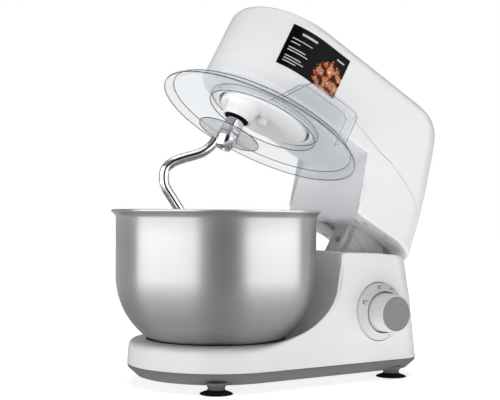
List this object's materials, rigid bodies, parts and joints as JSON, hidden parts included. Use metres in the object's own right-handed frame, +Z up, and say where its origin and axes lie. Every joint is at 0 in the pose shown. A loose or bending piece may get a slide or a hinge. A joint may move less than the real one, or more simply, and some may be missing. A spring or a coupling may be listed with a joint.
{
  "type": "stand mixer",
  "caption": "Tilt-head kitchen stand mixer with a steel bowl, clear splash guard with a pour chute, dough hook on a planetary drive, speed knob and suction feet.",
  "frame": {"origin": "middle of the bounding box at the table, with the head tilted back", "axes": "+Z up, the bowl towards -Y, the pillar and the hinge towards +Y, the speed knob on the +X side; the mirror plane of the shells is X = 0"},
  "size_m": [0.235, 0.3893, 0.4155],
  "materials": {
    "white_abs": "glossy moulded",
    "grey_abs": "satin moulded",
    "rubber": "moulded",
    "brushed_steel": "brushed round the bowl",
    "chrome": "polished",
    "steel": "plain",
    "alloy": "die cast",
    "black_plastic": "moulded",
    "nylon": "natural nylon",
    "clear_plastic": "clear moulded",
    "frosted_plastic": "translucent moulded",
    "circuit_board": "solder resist"
  },
  "bodies": {
    "base": {"base_shell": "white_abs", "base_tray": "grey_abs", "foot_front_right": "rubber", "foot_front_left": "rubber", "foot_rear_right": "rubber", "foot_rear_left": "rubber", "base_screw_1": "steel", "base_screw_2": "steel", "base_screw_3": "steel", "base_screw_4": "steel", "bowl_seat": "black_plastic", "cord_gland": "rubber", "control_board": "circuit_board", "hinge_pin": "steel", "hinge_bracket": "white_abs", "pillar_deck": "white_abs", "dial_ring": "white_abs", "speed_switch": "black_plastic", "latch_spring": "steel", "latch_guide": "steel"},
    "head": {"head_cover": "white_abs", "head_lower": "white_abs", "hinge_arm": "white_abs", "arm_screw": "steel", "ring_gear": "nylon", "chassis": "alloy", "main_bearing_lower": "steel", "main_bearing_upper": "steel", "motor_bearing": "steel", "motor_stator": "steel", "motor_end_cap": "alloy", "drive_belt": "rubber"},
    "drive": {"planet_hub": "white_abs", "hub_cap": "white_abs", "shaft_seal": "rubber", "main_shaft": "steel", "main_pulley": "nylon"},
    "tool": {"planet_gear": "nylon", "tool_shaft": "chrome"},
    "hook": {"hook_collar": "chrome", "hook_sleeve": "chrome", "dough_shield": "frosted_plastic", "hook_rod": "chrome"},
    "motor": {"motor_rotor": "steel", "motor_shaft": "steel", "motor_fan": "black_plastic", "motor_pulley": "steel"},
    "guard": {"splash_guard": "clear_plastic"},
    "knob": {"knob_body": "white_abs", "knob_cap": "grey_abs", "switch_spindle": "steel"},
    "button": {"release_button": "grey_abs"},
    "bowl": {"bowl": "brushed_steel", "bowl_foot": "brushed_steel"}
  },
  "joints": [
    {"name": "head_tilt", "type": "hinge", "parent": "base", "child": "head", "pos_m": [0, 0.1288, 0.1285], "axis": [-1, 0, 0], "range_deg": [-28.2, 0]},
    {"name": "planetary_drive", "type": "hinge", "parent": "head", "child": "drive", "pos_m": [0, -0.02044, 0.29033], "axis": [0, 0.4726, 0.8813], "continuous": true},
    {"name": "tool_spin", "type": "hinge", "parent": "drive", "child": "tool", "pos_m": [0, -0.06446, 0.27172], "axis": [0, 0.4726, 0.8813], "continuous": true},
    {"name": "motor_spin", "type": "hinge", "parent": "head", "child": "motor", "pos_m": [0, 0.1351, 0.26299], "axis": [0, 0.4726, 0.8813], "continuous": true},
    {"name": "hook_pull", "type": "slide", "parent": "tool", "child": "hook", "axis": [0, -0.4726, -0.8813], "range_m": [0, 0.025]},
    {"name": "guard_pull", "type": "slide", "parent": "head", "child": "guard", "axis": [0, -0.4726, -0.8813], "range_m": [0, 0.012]},
    {"name": "bowl_lift", "type": "slide", "parent": "base", "child": "bowl", "axis": [0, 0, 1], "range_m": [0, 0.03]},
    {"name": "speed_knob", "type": "hinge", "parent": "base", "child": "knob", "pos_m": [0.098, 0.0838, 0.076], "axis": [-1, 0, 0], "range_deg": [0, 240]},
    {"name": "release_button", "type": "slide", "parent": "base", "child": "button", "axis": [1, 0, 0], "range_m": [0, 0.004], "stiffness_N_per_m": 400, "springref_m": -0.005, "deforming": ["latch_spring"]}
  ],
  "couplings": [
    {"joint": "tool_spin", "follows": "planetary_drive", "ratio": -3},
    {"joint": "motor_spin", "follows": "planetary_drive", "ratio": 4.8889}
  ]
}
